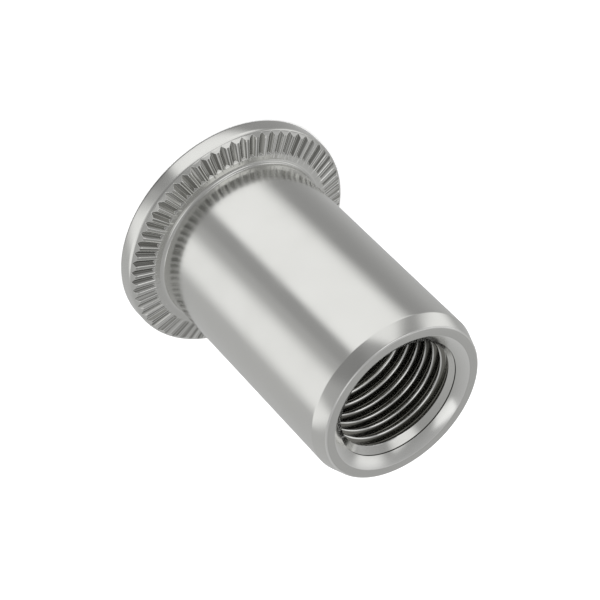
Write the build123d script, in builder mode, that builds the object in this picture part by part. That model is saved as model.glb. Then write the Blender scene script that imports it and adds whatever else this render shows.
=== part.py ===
"""Rivet nut with a flat round head, radial serrations under the head and a fine internal thread.

One piece of steel. It stands on its head: the origin is the centre of the head's flat outer
face, and +Z runs along the axis to the open, threaded end. All sizes are in millimetres.
"""
import os
from math import cos, radians, sin, tan

from build123d import *

# Bore and thread, seen from the open end
thread_minor_diameter = 7.19  # M8 x 0.75; the wall is plain here, at the height of the crests
threaded_depth = 9.2  # from the open end to the last turn
countersink_width = 0.65
countersink_depth = 0.48
lead_in_width = 0.35
lead_in_depth = 0.45
bore_step_angle = 45.0  # of the cone between the thread and the wider bore, from the axis
head_mouth_chamfer = 0.3

# Shank
overall_length = 18.2
thread_wall = 1.905  # from the crests of the thread to the outside
fold_wall = 1.0  # thin part next to the head, which folds when the nut is set
shank_root_fillet = 0.25
end_taper_length = 0.96
end_taper_depth = 0.32
end_edge_chamfer = 0.06

# Head
head_overhang = 2.03  # past the shank
head_thickness = 1.5  # from the outer face to the smooth ring beside the shank
smooth_ring_width = 0.55
rim_facet_width = 0.23  # cone outside the serrations, where the grooves run out
rim_facet_angle = 40.0  # from the plane of the head
rim_rounding_width = 0.055  # of the arc between the rim and that cone
rim_rounding_height = 0.26
rim_back_fillet = 0.12

# Serrations under the head
groove_count = 66
groove_depth = 0.13  # at the outer end, in step with the radius from there inwards
groove_share = 0.73  # part of each pitch that is groove, the rest is a flat land
groove_end_angle = 45.0  # of the small facet that closes the groove near the shank
serration_fall = 0.24  # how far the lands slope down from the smooth ring to the rim

# Radii
minor_radius = thread_minor_diameter / 2
lead_in_radius = minor_radius + lead_in_width
countersink_radius = lead_in_radius + countersink_width
shank_radius = minor_radius + thread_wall
fold_radius = shank_radius - fold_wall
end_face_radius = shank_radius - end_taper_depth
head_radius = shank_radius + head_overhang
groove_inner_radius = shank_radius + smooth_ring_width
facet_outer_radius = head_radius - rim_rounding_width
groove_outer_radius = facet_outer_radius - rim_facet_width

# Heights
land_end_height = head_thickness - serration_fall
facet_outer_height = land_end_height - rim_facet_width * tan(radians(rim_facet_angle))
rim_height = facet_outer_height - rim_rounding_height
taper_height = overall_length - end_taper_length
countersink_bottom = overall_length - countersink_depth
lead_in_bottom = countersink_bottom - lead_in_depth
thread_end_height = overall_length - threaded_depth
step_height = (fold_radius - minor_radius) / tan(radians(bore_step_angle))

# A groove is a wedge between two flat flanks that meet in its floor line and narrow to the axis
land_slope = serration_fall / (groove_outer_radius - groove_inner_radius)
groove_half_width = groove_outer_radius * tan(radians(180.0 / groove_count * groove_share))
floor_end = Vector(groove_outer_radius, 0, land_end_height - groove_depth)
floor_line = Vector(1, 0, -land_slope - groove_depth / groove_outer_radius)
wedge_clearance = 1.1  # wedge width over groove width, so that no sliver is left at the lands

with BuildPart() as groove_wedge:
    with Locations((shank_radius, 0, rim_height - groove_depth)):
        Box(
            head_overhang + groove_depth,
            2 * groove_half_width * wedge_clearance,
            head_thickness + 2 * groove_depth - rim_height,
            align=(Align.MIN, Align.CENTER, Align.MIN),
        )
    for side in (-1, 1):
        flank_line = Vector(0, side * groove_half_width, groove_depth)
        flank_normal = floor_line.cross(flank_line) * side
        split(bisect_by=Plane(origin=floor_end, x_dir=floor_line, z_dir=flank_normal))
    end_normal = Vector(sin(radians(groove_end_angle)), 0, cos(radians(groove_end_angle)))
    split(bisect_by=Plane(origin=(groove_inner_radius, 0, head_thickness), z_dir=end_normal))

with BuildPart() as rivet_nut:
    with BuildSketch(Plane.XZ) as half_section:
        with BuildLine():
            back_lines = Polyline(
                (fold_radius + head_mouth_chamfer, 0),
                (head_radius, 0),
                (head_radius, rim_height),
            )
            rim_rounding = TangentArc(
                (head_radius, rim_height),
                (facet_outer_radius, facet_outer_height),
                tangent=(0, 1),
            )
            Polyline(
                rim_rounding @ 1,
                (groove_outer_radius, land_end_height),
                (groove_inner_radius, head_thickness),
                (shank_radius, head_thickness),
                (shank_radius, taper_height),
                (end_face_radius, overall_length),
                (countersink_radius, overall_length),
                (lead_in_radius, countersink_bottom),
                (minor_radius, lead_in_bottom),
                (minor_radius, thread_end_height),
                (fold_radius, thread_end_height - step_height),
                (fold_radius, head_mouth_chamfer),
                back_lines @ 0,
            )
        make_face()
        for corner, corner_fillet in (
            ((head_radius, 0), rim_back_fillet),
            ((shank_radius, head_thickness), shank_root_fillet),
        ):
            fillet(half_section.vertices().sort_by_distance(corner)[0], corner_fillet)
        end_edge = half_section.vertices().sort_by_distance((end_face_radius, overall_length))[0]
        chamfer(end_edge, end_edge_chamfer)
    revolve(axis=Axis.Z)
    with PolarLocations(0, groove_count):
        add(groove_wedge.part, mode=Mode.SUBTRACT)

rivet_nut.part.label = "rivet_nut"

os.makedirs("parts", exist_ok=True)
export_step(rivet_nut.part, "parts/rivet_nut.step")
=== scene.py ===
"""Looks of the rivet nut: its serrated and threaded mesh, its steel, the floor, the light and the camera.

The part's sizes and the camera's place are in millimetres, and all that Blender gets is in metres. The
frame is the CAD's: the head's outer face is on the floor at Z = 0, and +Z runs up the axis to the
open, threaded end.
"""

from math import acos, atan, cos, pi, radians, sin, tan

import bmesh
import bpy
import numpy as np
from mathutils import Matrix, Vector


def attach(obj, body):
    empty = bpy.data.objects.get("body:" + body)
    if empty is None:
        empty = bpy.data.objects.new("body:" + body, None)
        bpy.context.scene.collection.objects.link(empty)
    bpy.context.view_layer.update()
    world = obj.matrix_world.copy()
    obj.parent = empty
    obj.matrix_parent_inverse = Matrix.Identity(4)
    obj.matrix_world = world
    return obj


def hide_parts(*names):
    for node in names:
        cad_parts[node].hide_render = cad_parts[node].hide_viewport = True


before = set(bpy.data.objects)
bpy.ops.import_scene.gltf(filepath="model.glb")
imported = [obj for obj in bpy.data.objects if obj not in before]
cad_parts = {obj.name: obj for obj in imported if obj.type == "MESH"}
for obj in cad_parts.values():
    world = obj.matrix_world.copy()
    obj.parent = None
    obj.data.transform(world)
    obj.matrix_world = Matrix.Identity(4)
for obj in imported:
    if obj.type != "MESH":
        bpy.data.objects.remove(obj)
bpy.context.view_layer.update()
MM = 0.001

# Sizes of the part, as in its source
MINOR_RADIUS = 3.595
TOP = 18.2
THREAD_END = TOP - 9.2
COUNTERSINK_RADIUS, COUNTERSINK_BOTTOM = 4.595, 17.72
LEAD_IN_RADIUS, LEAD_IN_BOTTOM = 3.945, 17.27
SHANK_RADIUS, FOLD_RADIUS = 5.5, 4.5
END_FACE_RADIUS, TAPER_START = 5.18, 17.24
MOUTH_CHAMFER = 0.3
ROOT_FILLET = 0.25
HEAD_RADIUS, HEAD_THICKNESS = 7.53, 1.5
RIM_FACET_WIDTH, RIM_FACET_ANGLE = 0.23, 40.0
RIM_ROUNDING_WIDTH, RIM_ROUNDING_HEIGHT = 0.055, 0.26
RIM_BACK_FILLET = 0.12
GROOVES = 66
GROOVE_DEPTH, GROOVE_SHARE, GROOVE_END_ANGLE = 0.13, 0.73, 45.0
SERRATION_FALL = 0.24
INNER = SHANK_RADIUS + 0.55
FACET_OUTER = HEAD_RADIUS - RIM_ROUNDING_WIDTH
OUTER = FACET_OUTER - RIM_FACET_WIDTH
LAND_END = HEAD_THICKNESS - SERRATION_FALL
LAND_SLOPE = SERRATION_FALL / (OUTER - INNER)

# Small roundings that only the visual model has
TAPER_START_FILLET = 0.25
END_FACE_FILLET = 0.12
COUNTERSINK_EDGE_FILLET, COUNTERSINK_FOOT_FILLET = 0.07, 0.01
BORE_STEP_FILLET, MOUTH_FILLET = 0.1, 0.05
STEP = 0.09  # height of the narrow wall between the countersink and the lead-in

# Serrations
BURR = 0.12  # height of the burr along the grooves, as a share of their depth
# Columns from a groove's floor line to the land: distance from that line in half widths of the groove,
# share of the full depth there, and shade: 1 is painted shade, 0 clean steel, -1 a painted highlight
GROOVE_FLOOR = (0.0, 0.97, 0.3)
GROOVE_SIDE = [
    (0.05, 0.94, 0.3),
    (0.13, 0.87, 0.6),
    (0.36, 0.64, 0.45),
    (0.61, 0.39, 0.5),
    (0.86, 0.14, 0.5),
    (0.96, -BURR, -1.0),
    (1.03, -BURR, -1.0),
    (1.13, 0.0, 0.4),
]
# painted shade on the lands between the grooves
LAND_SHADE = 0.35
PAINTED_SHADE_SIDE = 265  # degrees from +X, where the grooves get the most painted shade
PAINTED_SHADE_LEAST = 0.62  # share of it on the other side
PAINTED_SHADE_FADE_START, PAINTED_SHADE_FADE = 0.35, 0.45  # in cosines of the angle from PAINTED_SHADE_SIDE
STREAKS = 0.3  # how far the shade varies from column to column
STREAK_SEED = 66
FACET_EDGE = 0.006  # half width of the small bevel along the facet's outer edge
LINE = 0.02  # width of the painted highlight line where a groove runs out
ROUNDING_ROWS, FACET_ROWS, GROOVE_ROWS = 8, 3, 6

# Thread: M8 x 0.75, right-hand, with 30 degree flanks and flat crests and roots
PITCH = 0.75
THREAD_DEPTH = 0.405
CREST_HALF, ROOT_HALF = 0.047, 0.094
CREST_AT_Y = 16.6  # height of the middle of a crest on the +Y side
EDGE = 0.018  # half width of the small bevels along the crests
THREAD_START = 235.0  # degrees from +X, where the first groove has run out into the lead-in
RUN_IN = 70.0  # degrees over which it does
RUN_OUT = 0.8  # height over which the last turns fade into the bore
FLANK = PITCH / 2 - CREST_HALF - ROOT_HALF
LEAD_IN_TOP = COUNTERSINK_BOTTOM - STEP / 2
LEAD_IN_SLOPE = (LEAD_IN_RADIUS - MINOR_RADIUS) / (LEAD_IN_TOP - LEAD_IN_BOTTOM)

AROUND = 240  # columns round every surface but the serrations
EVEN = np.arange(AROUND) * 2 * pi / AROUND


def arc(corner, before, after, radius, steps):
    """Points of a fillet of that radius at corner, between the directions to before and after."""
    corner = np.array(corner, float)
    to_before = np.array(before, float) - corner
    to_after = np.array(after, float) - corner
    to_before /= np.linalg.norm(to_before)
    to_after /= np.linalg.norm(to_after)
    half = acos(np.clip(to_before @ to_after, -1, 1)) / 2
    bisector = (to_before + to_after) / np.linalg.norm(to_before + to_after)
    centre = corner + bisector * radius / sin(half)
    start = corner + to_before * radius / tan(half) - centre
    end = corner + to_after * radius / tan(half) - centre
    sweep = pi - 2 * half
    points = []
    for k in range(steps + 1):
        t = k / steps
        points.append(centre + (sin((1 - t) * sweep) * start + sin(t * sweep) * end) / sin(sweep))
    return points


def rounded(corners):
    """Polyline through (r, z, fillet radius, steps) corners, with fillets in place of the corners.

    The first and the last corner only give the direction of the line there and are left out.
    """
    line = []
    for k in range(1, len(corners) - 1):
        r, z, fillet, steps = corners[k]
        if fillet:
            line += arc((r, z), corners[k - 1][:2], corners[k + 1][:2], fillet, steps)
        else:
            line.append(np.array((r, z), float))
    return line


class Skin:
    """Collects rings of vertices, each with its shade, and the faces between them."""

    def __init__(self):
        self.points = []
        self.shades = []
        self.faces = []

    def ring(self, radii, angles, heights, shades=0.0):
        first = len(self.points)
        radii = np.broadcast_to(radii, angles.shape)
        heights = np.broadcast_to(heights, angles.shape)
        for r, a, z in zip(radii, angles, heights):
            self.points.append((r * cos(a), r * sin(a), z))
        self.shades.extend(np.broadcast_to(shades, angles.shape))
        return list(range(first, len(self.points)))

    def join(self, lower, upper):
        """Quads between two rings with the same columns."""
        n = len(lower)
        for j in range(n):
            k = (j + 1) % n
            self.faces.append((lower[j], lower[k], upper[k], upper[j]))

    def join_all(self, rings):
        for lower, upper in zip(rings, rings[1:]):
            self.join(lower, upper)

    def zip_up(self, lower, lower_angles, upper, upper_angles):
        """Triangles between two rings whose columns differ."""
        i = j = 0
        n, m = len(lower), len(upper)
        while i < n or j < m:
            next_low = lower_angles[(i + 1) % n] + (2 * pi if i + 1 >= n else 0)
            next_up = upper_angles[(j + 1) % m] + (2 * pi if j + 1 >= m else 0)
            if j >= m or (i < n and next_low <= next_up):
                self.faces.append((lower[i % n], lower[(i + 1) % n], upper[j % m]))
                i += 1
            else:
                self.faces.append((lower[i % n], upper[(j + 1) % m], upper[j % m]))
                j += 1


def groove_columns():
    """Angle, depth share and shade of each column round the serrations, and how strong the painted shade is.
    """
    half_pitch = pi / GROOVES
    half_groove = half_pitch * GROOVE_SHARE
    other_side = [(-across, share, shade) for across, share, shade in reversed(GROOVE_SIDE)]
    land_middle = (half_pitch / half_groove, 0.0, LAND_SHADE)
    profile = other_side + [GROOVE_FLOOR] + GROOVE_SIDE + [land_middle]
    angles = np.array([
        2 * pi * k / GROOVES + half_groove * across for k in range(GROOVES) for across, _, _ in profile
    ])
    shares = np.array([share for _, share, _ in profile] * GROOVES)
    shades = np.array([shade for _, _, shade in profile] * GROOVES)
    # the grooves on one side of the head get more painted shade than those on the other
    near_side = (np.cos(angles - radians(PAINTED_SHADE_SIDE)) - PAINTED_SHADE_FADE_START) / PAINTED_SHADE_FADE
    shade_strength = PAINTED_SHADE_LEAST + (1 - PAINTED_SHADE_LEAST) * np.clip(near_side, 0, 1)
    streaks = STREAKS * np.random.default_rng(STREAK_SEED).uniform(-1, 1, len(shades))
    shades = np.where(shades > 0, shades * shade_strength + streaks, shades)
    return angles, shares, shades, shade_strength


def rim_front():
    """Points (r, z) up the rim's front, over its rounding and then the facet, and the rounding's number."""
    facet_height = LAND_END - RIM_FACET_WIDTH * tan(radians(RIM_FACET_ANGLE))
    radius = (RIM_ROUNDING_WIDTH ** 2 + RIM_ROUNDING_HEIGHT ** 2) / (2 * RIM_ROUNDING_WIDTH)
    turn = np.linspace(0, 2 * atan(RIM_ROUNDING_WIDTH / RIM_ROUNDING_HEIGHT), 25)[:, None]
    rounding = np.hstack([
        HEAD_RADIUS - radius * (1 - np.cos(turn)),
        facet_height - RIM_ROUNDING_HEIGHT + radius * np.sin(turn),
    ])
    facet = np.linspace((FACET_OUTER, facet_height), (OUTER, LAND_END), 20)
    return np.vstack([rounding, facet[1:]]), len(rounding)


def groove_height(r, share):
    """Height of the serrated face at radius r, where share of the full depth is cut away."""
    return HEAD_THICKNESS - (r - INNER) * LAND_SLOPE - share * GROOVE_DEPTH * r / OUTER


def exit_length(share, front, along):
    """How far up the rim's front a groove of that share runs out."""
    above = front[:, 1] - groove_height(front[:, 0], share)
    k = int(np.argmax(above >= -1e-12))
    if k == 0 or share <= 0:
        return along[-1]
    t = above[k - 1] / (above[k - 1] - above[k])
    return along[k - 1] + t * (along[k] - along[k - 1])


def add_serrations(skin):
    """Rim's front, grooves and lands; gives their angles and the first and last ring."""
    angles, shares, shades, shade_strength = groove_columns()
    # painted highlight along the rows where the grooves run out
    edge_shades = np.where(shares > 0, -1.0, shades)
    front, rounding_points = rim_front()
    along = np.concatenate([[0], np.cumsum(np.linalg.norm(np.diff(front, axis=0), axis=1))])
    rounding_length = along[rounding_points - 1]
    exits = np.array([exit_length(share, front, along) for share in shares])

    rounding_end = rounding_length - FACET_EDGE
    rows = [rounding_end * k / ROUNDING_ROWS for k in range(ROUNDING_ROWS + 1)]
    facet_start = rounding_length + FACET_EDGE
    facet_end = np.maximum(exits - LINE, facet_start + 0.2 * (exits - facet_start))
    rows += [facet_start + (facet_end - facet_start) * k / FACET_ROWS for k in range(FACET_ROWS + 1)]
    rings = []
    for s in rows:
        rings.append(skin.ring(np.interp(s, along, front[:, 0]), angles, np.interp(s, along, front[:, 1])))
    exit_radius = np.interp(exits, along, front[:, 0])
    rings.append(skin.ring(exit_radius, angles, np.interp(exits, along, front[:, 1]), edge_shades))

    # the floor of a groove, from its outer end to the foot of the facet that closes it
    foot_per_share = GROOVE_DEPTH * INNER / OUTER / (tan(radians(GROOVE_END_ANGLE)) - LAND_SLOPE)
    least_share = 0.08  # keeps the lands' rows apart there
    foot = INNER + foot_per_share * np.maximum(shares, least_share)
    start, end = exit_radius - LINE, foot + LINE
    for k in range(GROOVE_ROWS + 1):
        r = start + (end - start) * k / GROOVE_ROWS
        rings.append(skin.ring(r, angles, groove_height(r, shares), shades))
    foot_height = groove_height(foot, shares)
    # a weaker painted highlight at the foot, then painted shade partway to the smooth ring
    rings.append(skin.ring(foot, angles, foot_height, 0.6 * np.minimum(edge_shades, 0)))
    middle = np.maximum(foot - LINE, (foot + INNER) / 2)
    middle_height = HEAD_THICKNESS + (foot_height - HEAD_THICKNESS) * (middle - INNER) / (foot - INNER)
    rings.append(skin.ring(middle, angles, middle_height, np.where(shares > 0, LAND_SHADE * shade_strength, 0.0)))
    rings.append(skin.ring(INNER, angles, HEAD_THICKNESS))
    skin.join_all(rings)
    return angles, rings[0], rings[-1]


def add_head(skin):
    """Outer face, back edge and rim below the serrations."""
    outline = rounded([
        (FOLD_RADIUS + MOUTH_CHAMFER, 0, 0, 0),
        (HEAD_RADIUS, 0, RIM_BACK_FILLET, 6),
        (HEAD_RADIUS, LAND_END, 0, 0),
    ])
    rings = [skin.ring(r, EVEN, z) for r, z in outline]
    skin.join_all(rings)
    return rings


def end_shade(z):
    """Painted highlight on the end face's rounded edges, painted shade in the step under the countersink."""
    if abs(z - COUNTERSINK_BOTTOM) < STEP / 3:
        return 1.0
    return -0.8 if TOP - 0.08 < z < TOP - 0.002 else 0.0


def add_shank(skin):
    """From the smooth ring up the shank, over the open end and down to the lead-in."""
    outline = rounded([
        (INNER, HEAD_THICKNESS, 0, 0),
        (SHANK_RADIUS, HEAD_THICKNESS, ROOT_FILLET, 8),
        (SHANK_RADIUS, 6.0, 0, 0),
        (SHANK_RADIUS, 11.0, 0, 0),
        (SHANK_RADIUS, TAPER_START, TAPER_START_FILLET, 3),
        (END_FACE_RADIUS, TOP, END_FACE_FILLET, 6),
        (COUNTERSINK_RADIUS, TOP, COUNTERSINK_EDGE_FILLET, 4),
        (LEAD_IN_RADIUS, COUNTERSINK_BOTTOM + STEP / 2, COUNTERSINK_FOOT_FILLET, 2),
        (LEAD_IN_RADIUS, COUNTERSINK_BOTTOM + STEP / 4, 0, 0),
        (LEAD_IN_RADIUS, COUNTERSINK_BOTTOM - STEP / 4, 0, 0),
        (LEAD_IN_RADIUS, LEAD_IN_TOP, 0, 0),
    ])
    rings = [skin.ring(r, EVEN, z, end_shade(z)) for r, z in outline]
    skin.join_all(rings)
    return rings


def add_bore(skin):
    """From the thread down the wider bore to the head's mouth."""
    outline = rounded([
        (MINOR_RADIUS, THREAD_END, 0, 0),
        (FOLD_RADIUS, THREAD_END - (FOLD_RADIUS - MINOR_RADIUS), BORE_STEP_FILLET, 3),
        (FOLD_RADIUS, MOUTH_CHAMFER, MOUTH_FILLET, 2),
        (FOLD_RADIUS + MOUTH_CHAMFER, 0, MOUTH_FILLET, 3),
        (HEAD_RADIUS, 0, 0, 0),
    ])
    rings = [skin.ring(r, EVEN, z) for r, z in outline]
    skin.join_all(rings)
    return rings


def wall_radius(z):
    """Radius of the bore before the thread is cut: straight, then widening to the countersink."""
    return MINOR_RADIUS + LEAD_IN_SLOPE * np.maximum(z - LEAD_IN_BOTTOM, 0)


def thread_row(turn, offset, share):
    """Radii and heights of a row at that height over the crest's middle and that share of the depth."""
    crest = CREST_AT_Y + PITCH * (turn + (EVEN - pi / 2) / (2 * pi))
    groove_turn = turn if offset > 0 else turn - 1
    run_in = np.clip((radians(THREAD_START) - EVEN - 2 * pi * groove_turn) / radians(RUN_IN), 0, 1)
    z = crest + offset
    if offset > 0:
        # past the last groove the rows over the crest rise to the lead-in's lower edge
        lowest = LEAD_IN_BOTTOM + 0.3 * (offset - CREST_HALF)
        z = np.where(run_in > 0, z, np.maximum(z, lowest))
    cut = THREAD_DEPTH * run_in * np.clip((z - THREAD_END) / RUN_OUT, 0, 1)
    r = np.maximum(wall_radius(z), MINOR_RADIUS + cut * share)
    # where the crest's lower edge is cut back by the lead-in, the two rows beside it follow that line
    lower_edge = crest - CREST_HALF
    slope = np.maximum(cut / FLANK, 1e-6)
    meeting = (slope * lower_edge + LEAD_IN_SLOPE * LEAD_IN_BOTTOM) / (slope + LEAD_IN_SLOPE)
    cut_back = lower_edge > LEAD_IN_BOTTOM
    below = crest - PITCH / 2 + ROOT_HALF
    if offset == -CREST_HALF + EDGE:
        z = np.where(cut_back, np.maximum(np.minimum(meeting + EDGE, z), below + 2 * EDGE), z)
        r = np.where(cut_back, wall_radius(z), r)
    if offset < -CREST_HALF and share < 0.5:
        z = np.where(cut_back, np.maximum(np.minimum(meeting - EDGE, z), below + EDGE), z)
        flank = np.minimum(slope * (lower_edge - z), cut)
        r = np.where(cut_back, np.maximum(wall_radius(z), MINOR_RADIUS + flank), r)
    inside = (z > THREAD_END) & (z < LEAD_IN_TOP)
    z = np.clip(z, THREAD_END, LEAD_IN_TOP)
    return np.where(inside, r, wall_radius(z)), z


def flank_row(share, shade):
    """Row on the flank over a crest."""
    return CREST_HALF + FLANK * share, share, shade


def turn_rows():
    """Rows of one turn, from the root under a crest to the root over it, with lines on one flank."""
    edge_share = EDGE / FLANK
    near_root = 1.0 - edge_share / 2
    # shades: painted shade down in the groove, painted highlight along the crest, lighter lines on the flank
    # over it
    return [
        (-PITCH / 2, 1.0, 1.0),
        (-PITCH / 2 + ROOT_HALF, near_root, 1.0),
        (-CREST_HALF - EDGE, edge_share, 0.9),
        (-CREST_HALF + EDGE, 0.0, -0.8),
        (0.0, 0.0, -0.4),
        (CREST_HALF - EDGE, 0.0, -0.8),
        (CREST_HALF + EDGE, edge_share, -0.6),
        flank_row(0.16, 0.3),
        flank_row(0.26, 0.95),
        flank_row(0.6, 0.95),
        flank_row(0.65, -0.1),
        flank_row(0.72, 0.9),
        flank_row(0.83, -0.1),
        flank_row(0.9, 1.0),
        (PITCH / 2 - ROOT_HALF, near_root, 1.0),
    ]


def add_thread(skin):
    """Rows that follow the helix, so that its edges stay sharp, cut off level at both ends."""
    rows = turn_rows()
    first_turn = -int((CREST_AT_Y - THREAD_END) / PITCH) - 2
    last_turn = int((LEAD_IN_TOP - CREST_AT_Y) / PITCH) + 2
    rings = []
    for turn in range(first_turn, last_turn + 1):
        for offset, share, shade in rows:
            r, z = thread_row(turn, offset, share)
            # painted shade only where the groove is cut, painted highlight on the crests below the lead-in's
            # lower edge
            in_groove = r > wall_radius(z) + 1e-4
            crest_highlight = (shade < 0) & (z < LEAD_IN_BOTTOM + 0.02)
            rings.append(skin.ring(r, EVEN, z, np.where(in_groove | crest_highlight, shade, 0.0)))
    for k in range(len(rings) - 1):
        low, high = rings[k], rings[k + 1]
        for j in range(AROUND - 1):
            skin.faces.append((low[j], high[j], high[j + 1], low[j + 1]))
        # the last column of a row meets the first column of the same row a turn higher
        if k + len(rows) + 1 < len(rings):
            low_next, high_next = rings[k + len(rows)], rings[k + len(rows) + 1]
            skin.faces.append((low[-1], high[-1], high_next[0], low_next[0]))


def build_skin():
    skin = Skin()
    groove_angles, rim_ring, smooth_ring = add_serrations(skin)
    head_rings = add_head(skin)
    skin.zip_up(head_rings[-1], EVEN, rim_ring, groove_angles)
    shank_rings = add_shank(skin)
    skin.zip_up(smooth_ring, groove_angles, shank_rings[0], EVEN)
    bore_rings = add_bore(skin)
    skin.join(bore_rings[-1], head_rings[0])
    add_thread(skin)
    skin.join(shank_rings[-1], skin.ring(LEAD_IN_RADIUS, EVEN, LEAD_IN_TOP))
    skin.join(skin.ring(MINOR_RADIUS, EVEN, THREAD_END), bore_rings[0])
    return skin


def skin_to_piece(skin, name):
    """The object with the closed mesh of the skin, its shades as the attribute "shade" and smooth normals."""
    mesh = bpy.data.meshes.new(name)
    mesh.from_pydata([tuple(p * MM) for p in np.array(skin.points)], [], skin.faces)
    shades = mesh.attributes.new("shade", "FLOAT", "POINT")
    shades.data.foreach_set("value", [float(s) for s in skin.shades])
    cleaner = bmesh.new()
    cleaner.from_mesh(mesh)
    bmesh.ops.remove_doubles(cleaner, verts=cleaner.verts, dist=2e-7)
    bmesh.ops.recalc_face_normals(cleaner, faces=cleaner.faces)
    cleaner.to_mesh(mesh)
    cleaner.free()
    mesh.shade_smooth()
    mesh.set_sharp_from_angle(angle=radians(38))

    piece = bpy.data.objects.new(name, mesh)
    bpy.context.scene.collection.objects.link(piece)
    weighted = piece.modifiers.new("weighted_normals", "WEIGHTED_NORMAL")
    weighted.mode = "FACE_AREA"
    weighted.weight = 100
    weighted.keep_sharp = True
    return piece


def map_range(tree, value, from_span, to_span, interpolation="LINEAR"):
    """Output of a Map Range node from one (low, high) span to another."""
    node = tree.nodes.new("ShaderNodeMapRange")
    node.interpolation_type = interpolation
    tree.links.new(value, node.inputs["Value"])
    node.inputs["From Min"].default_value, node.inputs["From Max"].default_value = from_span
    node.inputs["To Min"].default_value, node.inputs["To Max"].default_value = to_span
    return node.outputs[0]


def satin_steel():
    """Steel with painted shade where the shade is over 0, painted highlights under 0 and fine marks of the
    turning.
    """
    steel = bpy.data.materials.new("satin_steel")
    steel.use_nodes = True
    tree = steel.node_tree
    shader = tree.nodes["Principled BSDF"]
    shader.inputs["Metallic"].default_value = 1.0
    place = tree.nodes.new("ShaderNodeTexCoord")
    cloud = tree.nodes.new("ShaderNodeTexNoise")
    cloud.inputs["Scale"].default_value = 420.0
    cloud.inputs["Detail"].default_value = 6.0
    tree.links.new(place.outputs["Object"], cloud.inputs["Vector"])
    cloud_span = (0.3, 0.7)

    # the ramp's middle is clean steel, made slightly uneven by the cloud
    shade = tree.nodes.new("ShaderNodeAttribute")
    shade.attribute_name = "shade"
    ramp_place = tree.nodes.new("ShaderNodeMath")
    ramp_place.operation = "MULTIPLY_ADD"
    ramp_place.inputs[1].default_value = 0.5
    uneven = map_range(tree, cloud.outputs["Fac"], cloud_span, (0.475, 0.525))
    tree.links.new(shade.outputs["Fac"], ramp_place.inputs[0])
    tree.links.new(uneven, ramp_place.inputs[2])
    # the ramp's light end is painted highlight and its dark end painted shade
    tone = tree.nodes.new("ShaderNodeValToRGB")
    stops = tone.color_ramp.elements
    stops[0].color = (0.98, 0.98, 0.96, 1)
    stops[1].color = (0.25, 0.246, 0.222, 1)
    stops.new(0.46).color = (0.745, 0.745, 0.722, 1)
    stops.new(0.54).color = (0.725, 0.725, 0.7, 1)
    stops.new(0.75).color = (0.28, 0.28, 0.262, 1)
    tree.links.new(ramp_place.outputs[0], tone.inputs["Fac"])
    tree.links.new(tone.outputs["Color"], shader.inputs["Base Color"])
    roughness = map_range(tree, cloud.outputs["Fac"], cloud_span, (0.14, 0.2))
    tree.links.new(roughness, shader.inputs["Roughness"])

    # rings left by the turning tool
    stretch = tree.nodes.new("ShaderNodeMapping")
    stretch.inputs["Scale"].default_value = (900.0, 900.0, 16000.0)
    tree.links.new(place.outputs["Object"], stretch.inputs["Vector"])
    marks = tree.nodes.new("ShaderNodeTexNoise")
    marks.inputs["Scale"].default_value = 1.0
    marks.inputs["Detail"].default_value = 3.0
    tree.links.new(stretch.outputs[0], marks.inputs["Vector"])
    bump = tree.nodes.new("ShaderNodeBump")
    bump.inputs["Strength"].default_value = 0.35
    bump.inputs["Distance"].default_value = 0.0000005
    tree.links.new(marks.outputs["Fac"], bump.inputs["Height"])
    tree.links.new(bump.outputs[0], shader.inputs["Normal"])
    return steel


def pale_floor():
    """Large floor just under the head, whose paint glows a little; the metal doesn't mirror it."""
    half, height = 3.0, -1e-5
    corners = [(-half, -half, height), (half, -half, height), (half, half, height), (-half, half, height)]
    mesh = bpy.data.meshes.new("floor")
    mesh.from_pydata(corners, [], [(0, 1, 2, 3)])
    floor = bpy.data.objects.new("floor", mesh)
    bpy.context.scene.collection.objects.link(floor)
    floor.visible_glossy = False
    floor.visible_shadow = False
    look = bpy.data.materials.new("pale_floor")
    look.use_nodes = True
    tree = look.node_tree
    tree.nodes.clear()
    out = tree.nodes.new("ShaderNodeOutputMaterial")
    add = tree.nodes.new("ShaderNodeAddShader")
    paint = tree.nodes.new("ShaderNodeBsdfDiffuse")
    paint.inputs["Color"].default_value = (0.85, 0.85, 0.85, 1)
    glow = tree.nodes.new("ShaderNodeEmission")
    glow.inputs["Strength"].default_value = 0.35
    tree.links.new(paint.outputs[0], add.inputs[0])
    tree.links.new(glow.outputs[0], add.inputs[1])
    tree.links.new(add.outputs[0], out.inputs["Surface"])
    mesh.materials.append(look)
    return floor


# The photographer's view at rest, fixed in the world; the studio's axes are its right, up and back
VIEW_ELEVATION = radians(38.24)
VIEW_ROLL = radians(135.236)
VIEW_TURN = radians(-0.931)  # brings a groove to where the photograph shows one
LEVEL_CAMERA_PLACE = Vector((0.016, -105.6005, 91.0618))  # before that turn
LENS = 138.225

about_axis = Matrix.Rotation(VIEW_TURN, 3, "Z")
forward = about_axis @ Vector((0, cos(VIEW_ELEVATION), -sin(VIEW_ELEVATION)))
level_up = about_axis @ Vector((0, sin(VIEW_ELEVATION), cos(VIEW_ELEVATION)))
level_right = about_axis @ Vector((1, 0, 0))
camera_place = about_axis @ LEVEL_CAMERA_PLACE
studio_up = level_up * cos(VIEW_ROLL) - level_right * sin(VIEW_ROLL)
studio_right = forward.cross(studio_up)
studio_back = -forward
STUDIO_AXES = {"right": studio_right, "up": studio_up, "back": studio_back}

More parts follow.
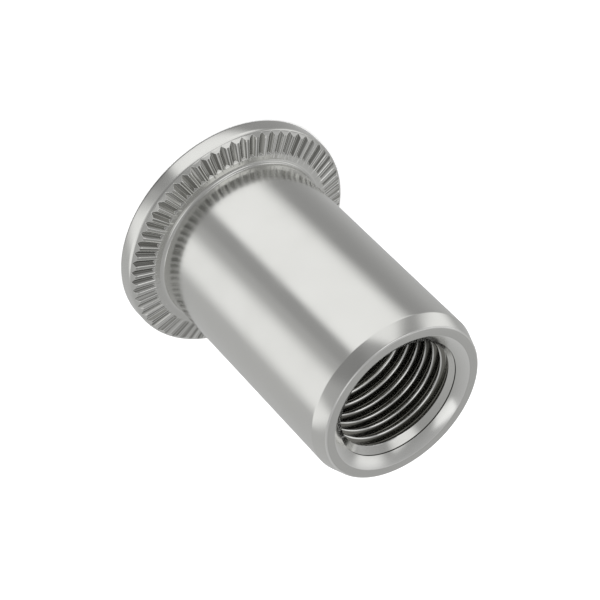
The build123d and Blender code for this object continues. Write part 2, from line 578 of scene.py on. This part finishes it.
# Soft boxes and, with strengths under 0, black flags: the axis that each faces and its sign, its spans along
# the two other axes on the plane at distance 1, its strength, and the softness of its edges
SOFT_BOXES = [
    ("up", 1, "right", (-1.0, 0.4), "back", (-0.25, 1.0), 0.7, 0.15),
    ("right", -1, "up", (-0.8, 0.3), "back", (-0.35, 0.35), 0.5, 0.15),
    ("right", 1, "up", (-0.1, 0.2), "back", (-0.3, 0.35), 0.55, 0.15),
    ("back", 1, "right", (0.25, 1.55), "up", (0.0, 0.55), 0.6, 0.1),
    ("back", 1, "right", (0.0, 0.45), "up", (-1.4, -0.55), 0.6, 0.1),
    ("right", 1, "up", (0.6, 1.35), "back", (-1.05, 0.25), 0.6, 0.35),
    ("right", 1, "up", (-0.75, -0.4), "back", (-0.3, 0.4), 0.35, 0.3),
    ("back", 1, "right", (-1.5, -0.3), "up", (-0.05, 0.8), -0.15, 0.25),
    ("up", 1, "right", (-1.8, 0.5), "back", (-2.2, 0.95), -0.1, 0.2),
]
ROOM_LEVEL = 0.44
ROOM_SLOPES = {"back": -0.06, "up": -0.02, "right": -0.05}  # change of the level along the studio's axes
GROUND_EDGE = (0.73, 0.88)  # downward part of the directions between which the dark ground begins
GROUND_LEVEL = 0.09  # as a share of the room's level


class World:
    """Node tree of the world, with short calls for the few nodes that it needs."""

    def __init__(self, name):
        self.world = bpy.data.worlds.new(name)
        self.world.use_nodes = True
        self.tree = self.world.node_tree
        self.tree.nodes.clear()
        self.direction = self.tree.nodes.new("ShaderNodeTexCoord").outputs["Generated"]

    def math(self, operation, *values):
        node = self.tree.nodes.new("ShaderNodeMath")
        node.operation = operation
        for socket, value in zip(node.inputs, values):
            if isinstance(value, (int, float)):
                socket.default_value = value
            else:
                self.tree.links.new(value, socket)
        return node.outputs[0]

    def part_along(self, axis):
        """Part of the direction along a fixed axis."""
        node = self.tree.nodes.new("ShaderNodeVectorMath")
        node.operation = "DOT_PRODUCT"
        self.tree.links.new(self.direction, node.inputs[0])
        node.inputs[1].default_value = tuple(axis)
        return node.outputs["Value"]

    def window(self, value, low, high, soft):
        """1 between low and high, falling to 0 over soft on each side of both."""
        rise = map_range(self.tree, value, (low - soft, low + soft), (0, 1), "SMOOTHSTEP")
        fall = map_range(self.tree, value, (high - soft, high + soft), (1, 0), "SMOOTHSTEP")
        return self.math("MULTIPLY", rise, fall)

    def background(self, strength):
        node = self.tree.nodes.new("ShaderNodeBackground")
        node.inputs["Color"].default_value = (1, 1, 1, 1)
        if isinstance(strength, float):
            node.inputs["Strength"].default_value = strength
        else:
            self.tree.links.new(strength, node.inputs["Strength"])
        return node.outputs[0]


def studio_level(world):
    """Brightness of the studio in every direction: the room, the dark ground and the soft boxes."""
    parts = {name: world.part_along(axis) for name, axis in STUDIO_AXES.items()}
    level = ROOM_LEVEL
    for name, slope in ROOM_SLOPES.items():
        level = world.math("ADD", level, world.math("MULTIPLY", parts[name], slope))
    downward = world.part_along((0, 0, -1))
    ground = map_range(world.tree, downward, GROUND_EDGE, (1, GROUND_LEVEL), "SMOOTHSTEP")
    level = world.math("MULTIPLY", level, ground)
    for axis, sign, first, first_span, second, second_span, strength, soft in SOFT_BOXES:
        ahead = world.math("MULTIPLY", parts[axis], float(sign))
        distance = world.math("MAXIMUM", ahead, 0.01)
        across = world.window(world.math("DIVIDE", parts[first], distance), *first_span, soft)
        upright = world.window(world.math("DIVIDE", parts[second], distance), *second_span, soft)
        in_front = world.math("GREATER_THAN", ahead, 0.02)
        box = world.math("MULTIPLY", world.math("MULTIPLY", across, upright), in_front)
        level = world.math("ADD", level, world.math("MULTIPLY", box, strength))
    return world.math("MAXIMUM", level, 0.0)


def studio_world():
    """White behind the part, and the studio in what lights it and in what the metal mirrors."""
    world = World("studio")
    mix = world.tree.nodes.new("ShaderNodeMixShader")
    path = world.tree.nodes.new("ShaderNodeLightPath")
    out = world.tree.nodes.new("ShaderNodeOutputWorld")
    world.tree.links.new(path.outputs["Is Camera Ray"], mix.inputs[0])
    world.tree.links.new(world.background(studio_level(world)), mix.inputs[1])
    world.tree.links.new(world.background(1.0), mix.inputs[2])
    world.tree.links.new(mix.outputs[0], out.inputs["Surface"])
    return world.world


def overhead_lamp():
    """Soft lamp over the part, which the metal doesn't mirror."""
    lamp = bpy.data.lights.new("overhead", "AREA")
    lamp.shape = "DISK"
    lamp.size = 0.9
    lamp.energy = 12
    lamp_object = bpy.data.objects.new("overhead", lamp)
    lamp_object.location = (0.2, -0.2, 1.2)
    lamp_object.rotation_euler = (-lamp_object.location).to_track_quat("-Z", "Y").to_euler()
    lamp_object.visible_glossy = False
    bpy.context.scene.collection.objects.link(lamp_object)


def photographers_camera():
    data = bpy.data.cameras.new("camera")
    data.sensor_width = 36.0
    data.lens = LENS
    data.clip_start, data.clip_end = 0.005, 20.0
    camera = bpy.data.objects.new("camera", data)
    bpy.context.scene.collection.objects.link(camera)
    turned = Matrix((studio_right, studio_up, studio_back)).transposed().to_4x4()
    camera.matrix_world = Matrix.Translation(camera_place * MM) @ turned
    return camera


rivet_nut = skin_to_piece(build_skin(), "rivet_nut_body")
rivet_nut.data.materials.append(satin_steel())
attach(rivet_nut, "root")
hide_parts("rivet_nut")
pale_floor()
overhead_lamp()
bpy.context.scene.world = studio_world()
bpy.context.scene.camera = photographers_camera()
bpy.context.scene.view_settings.view_transform = "Standard"
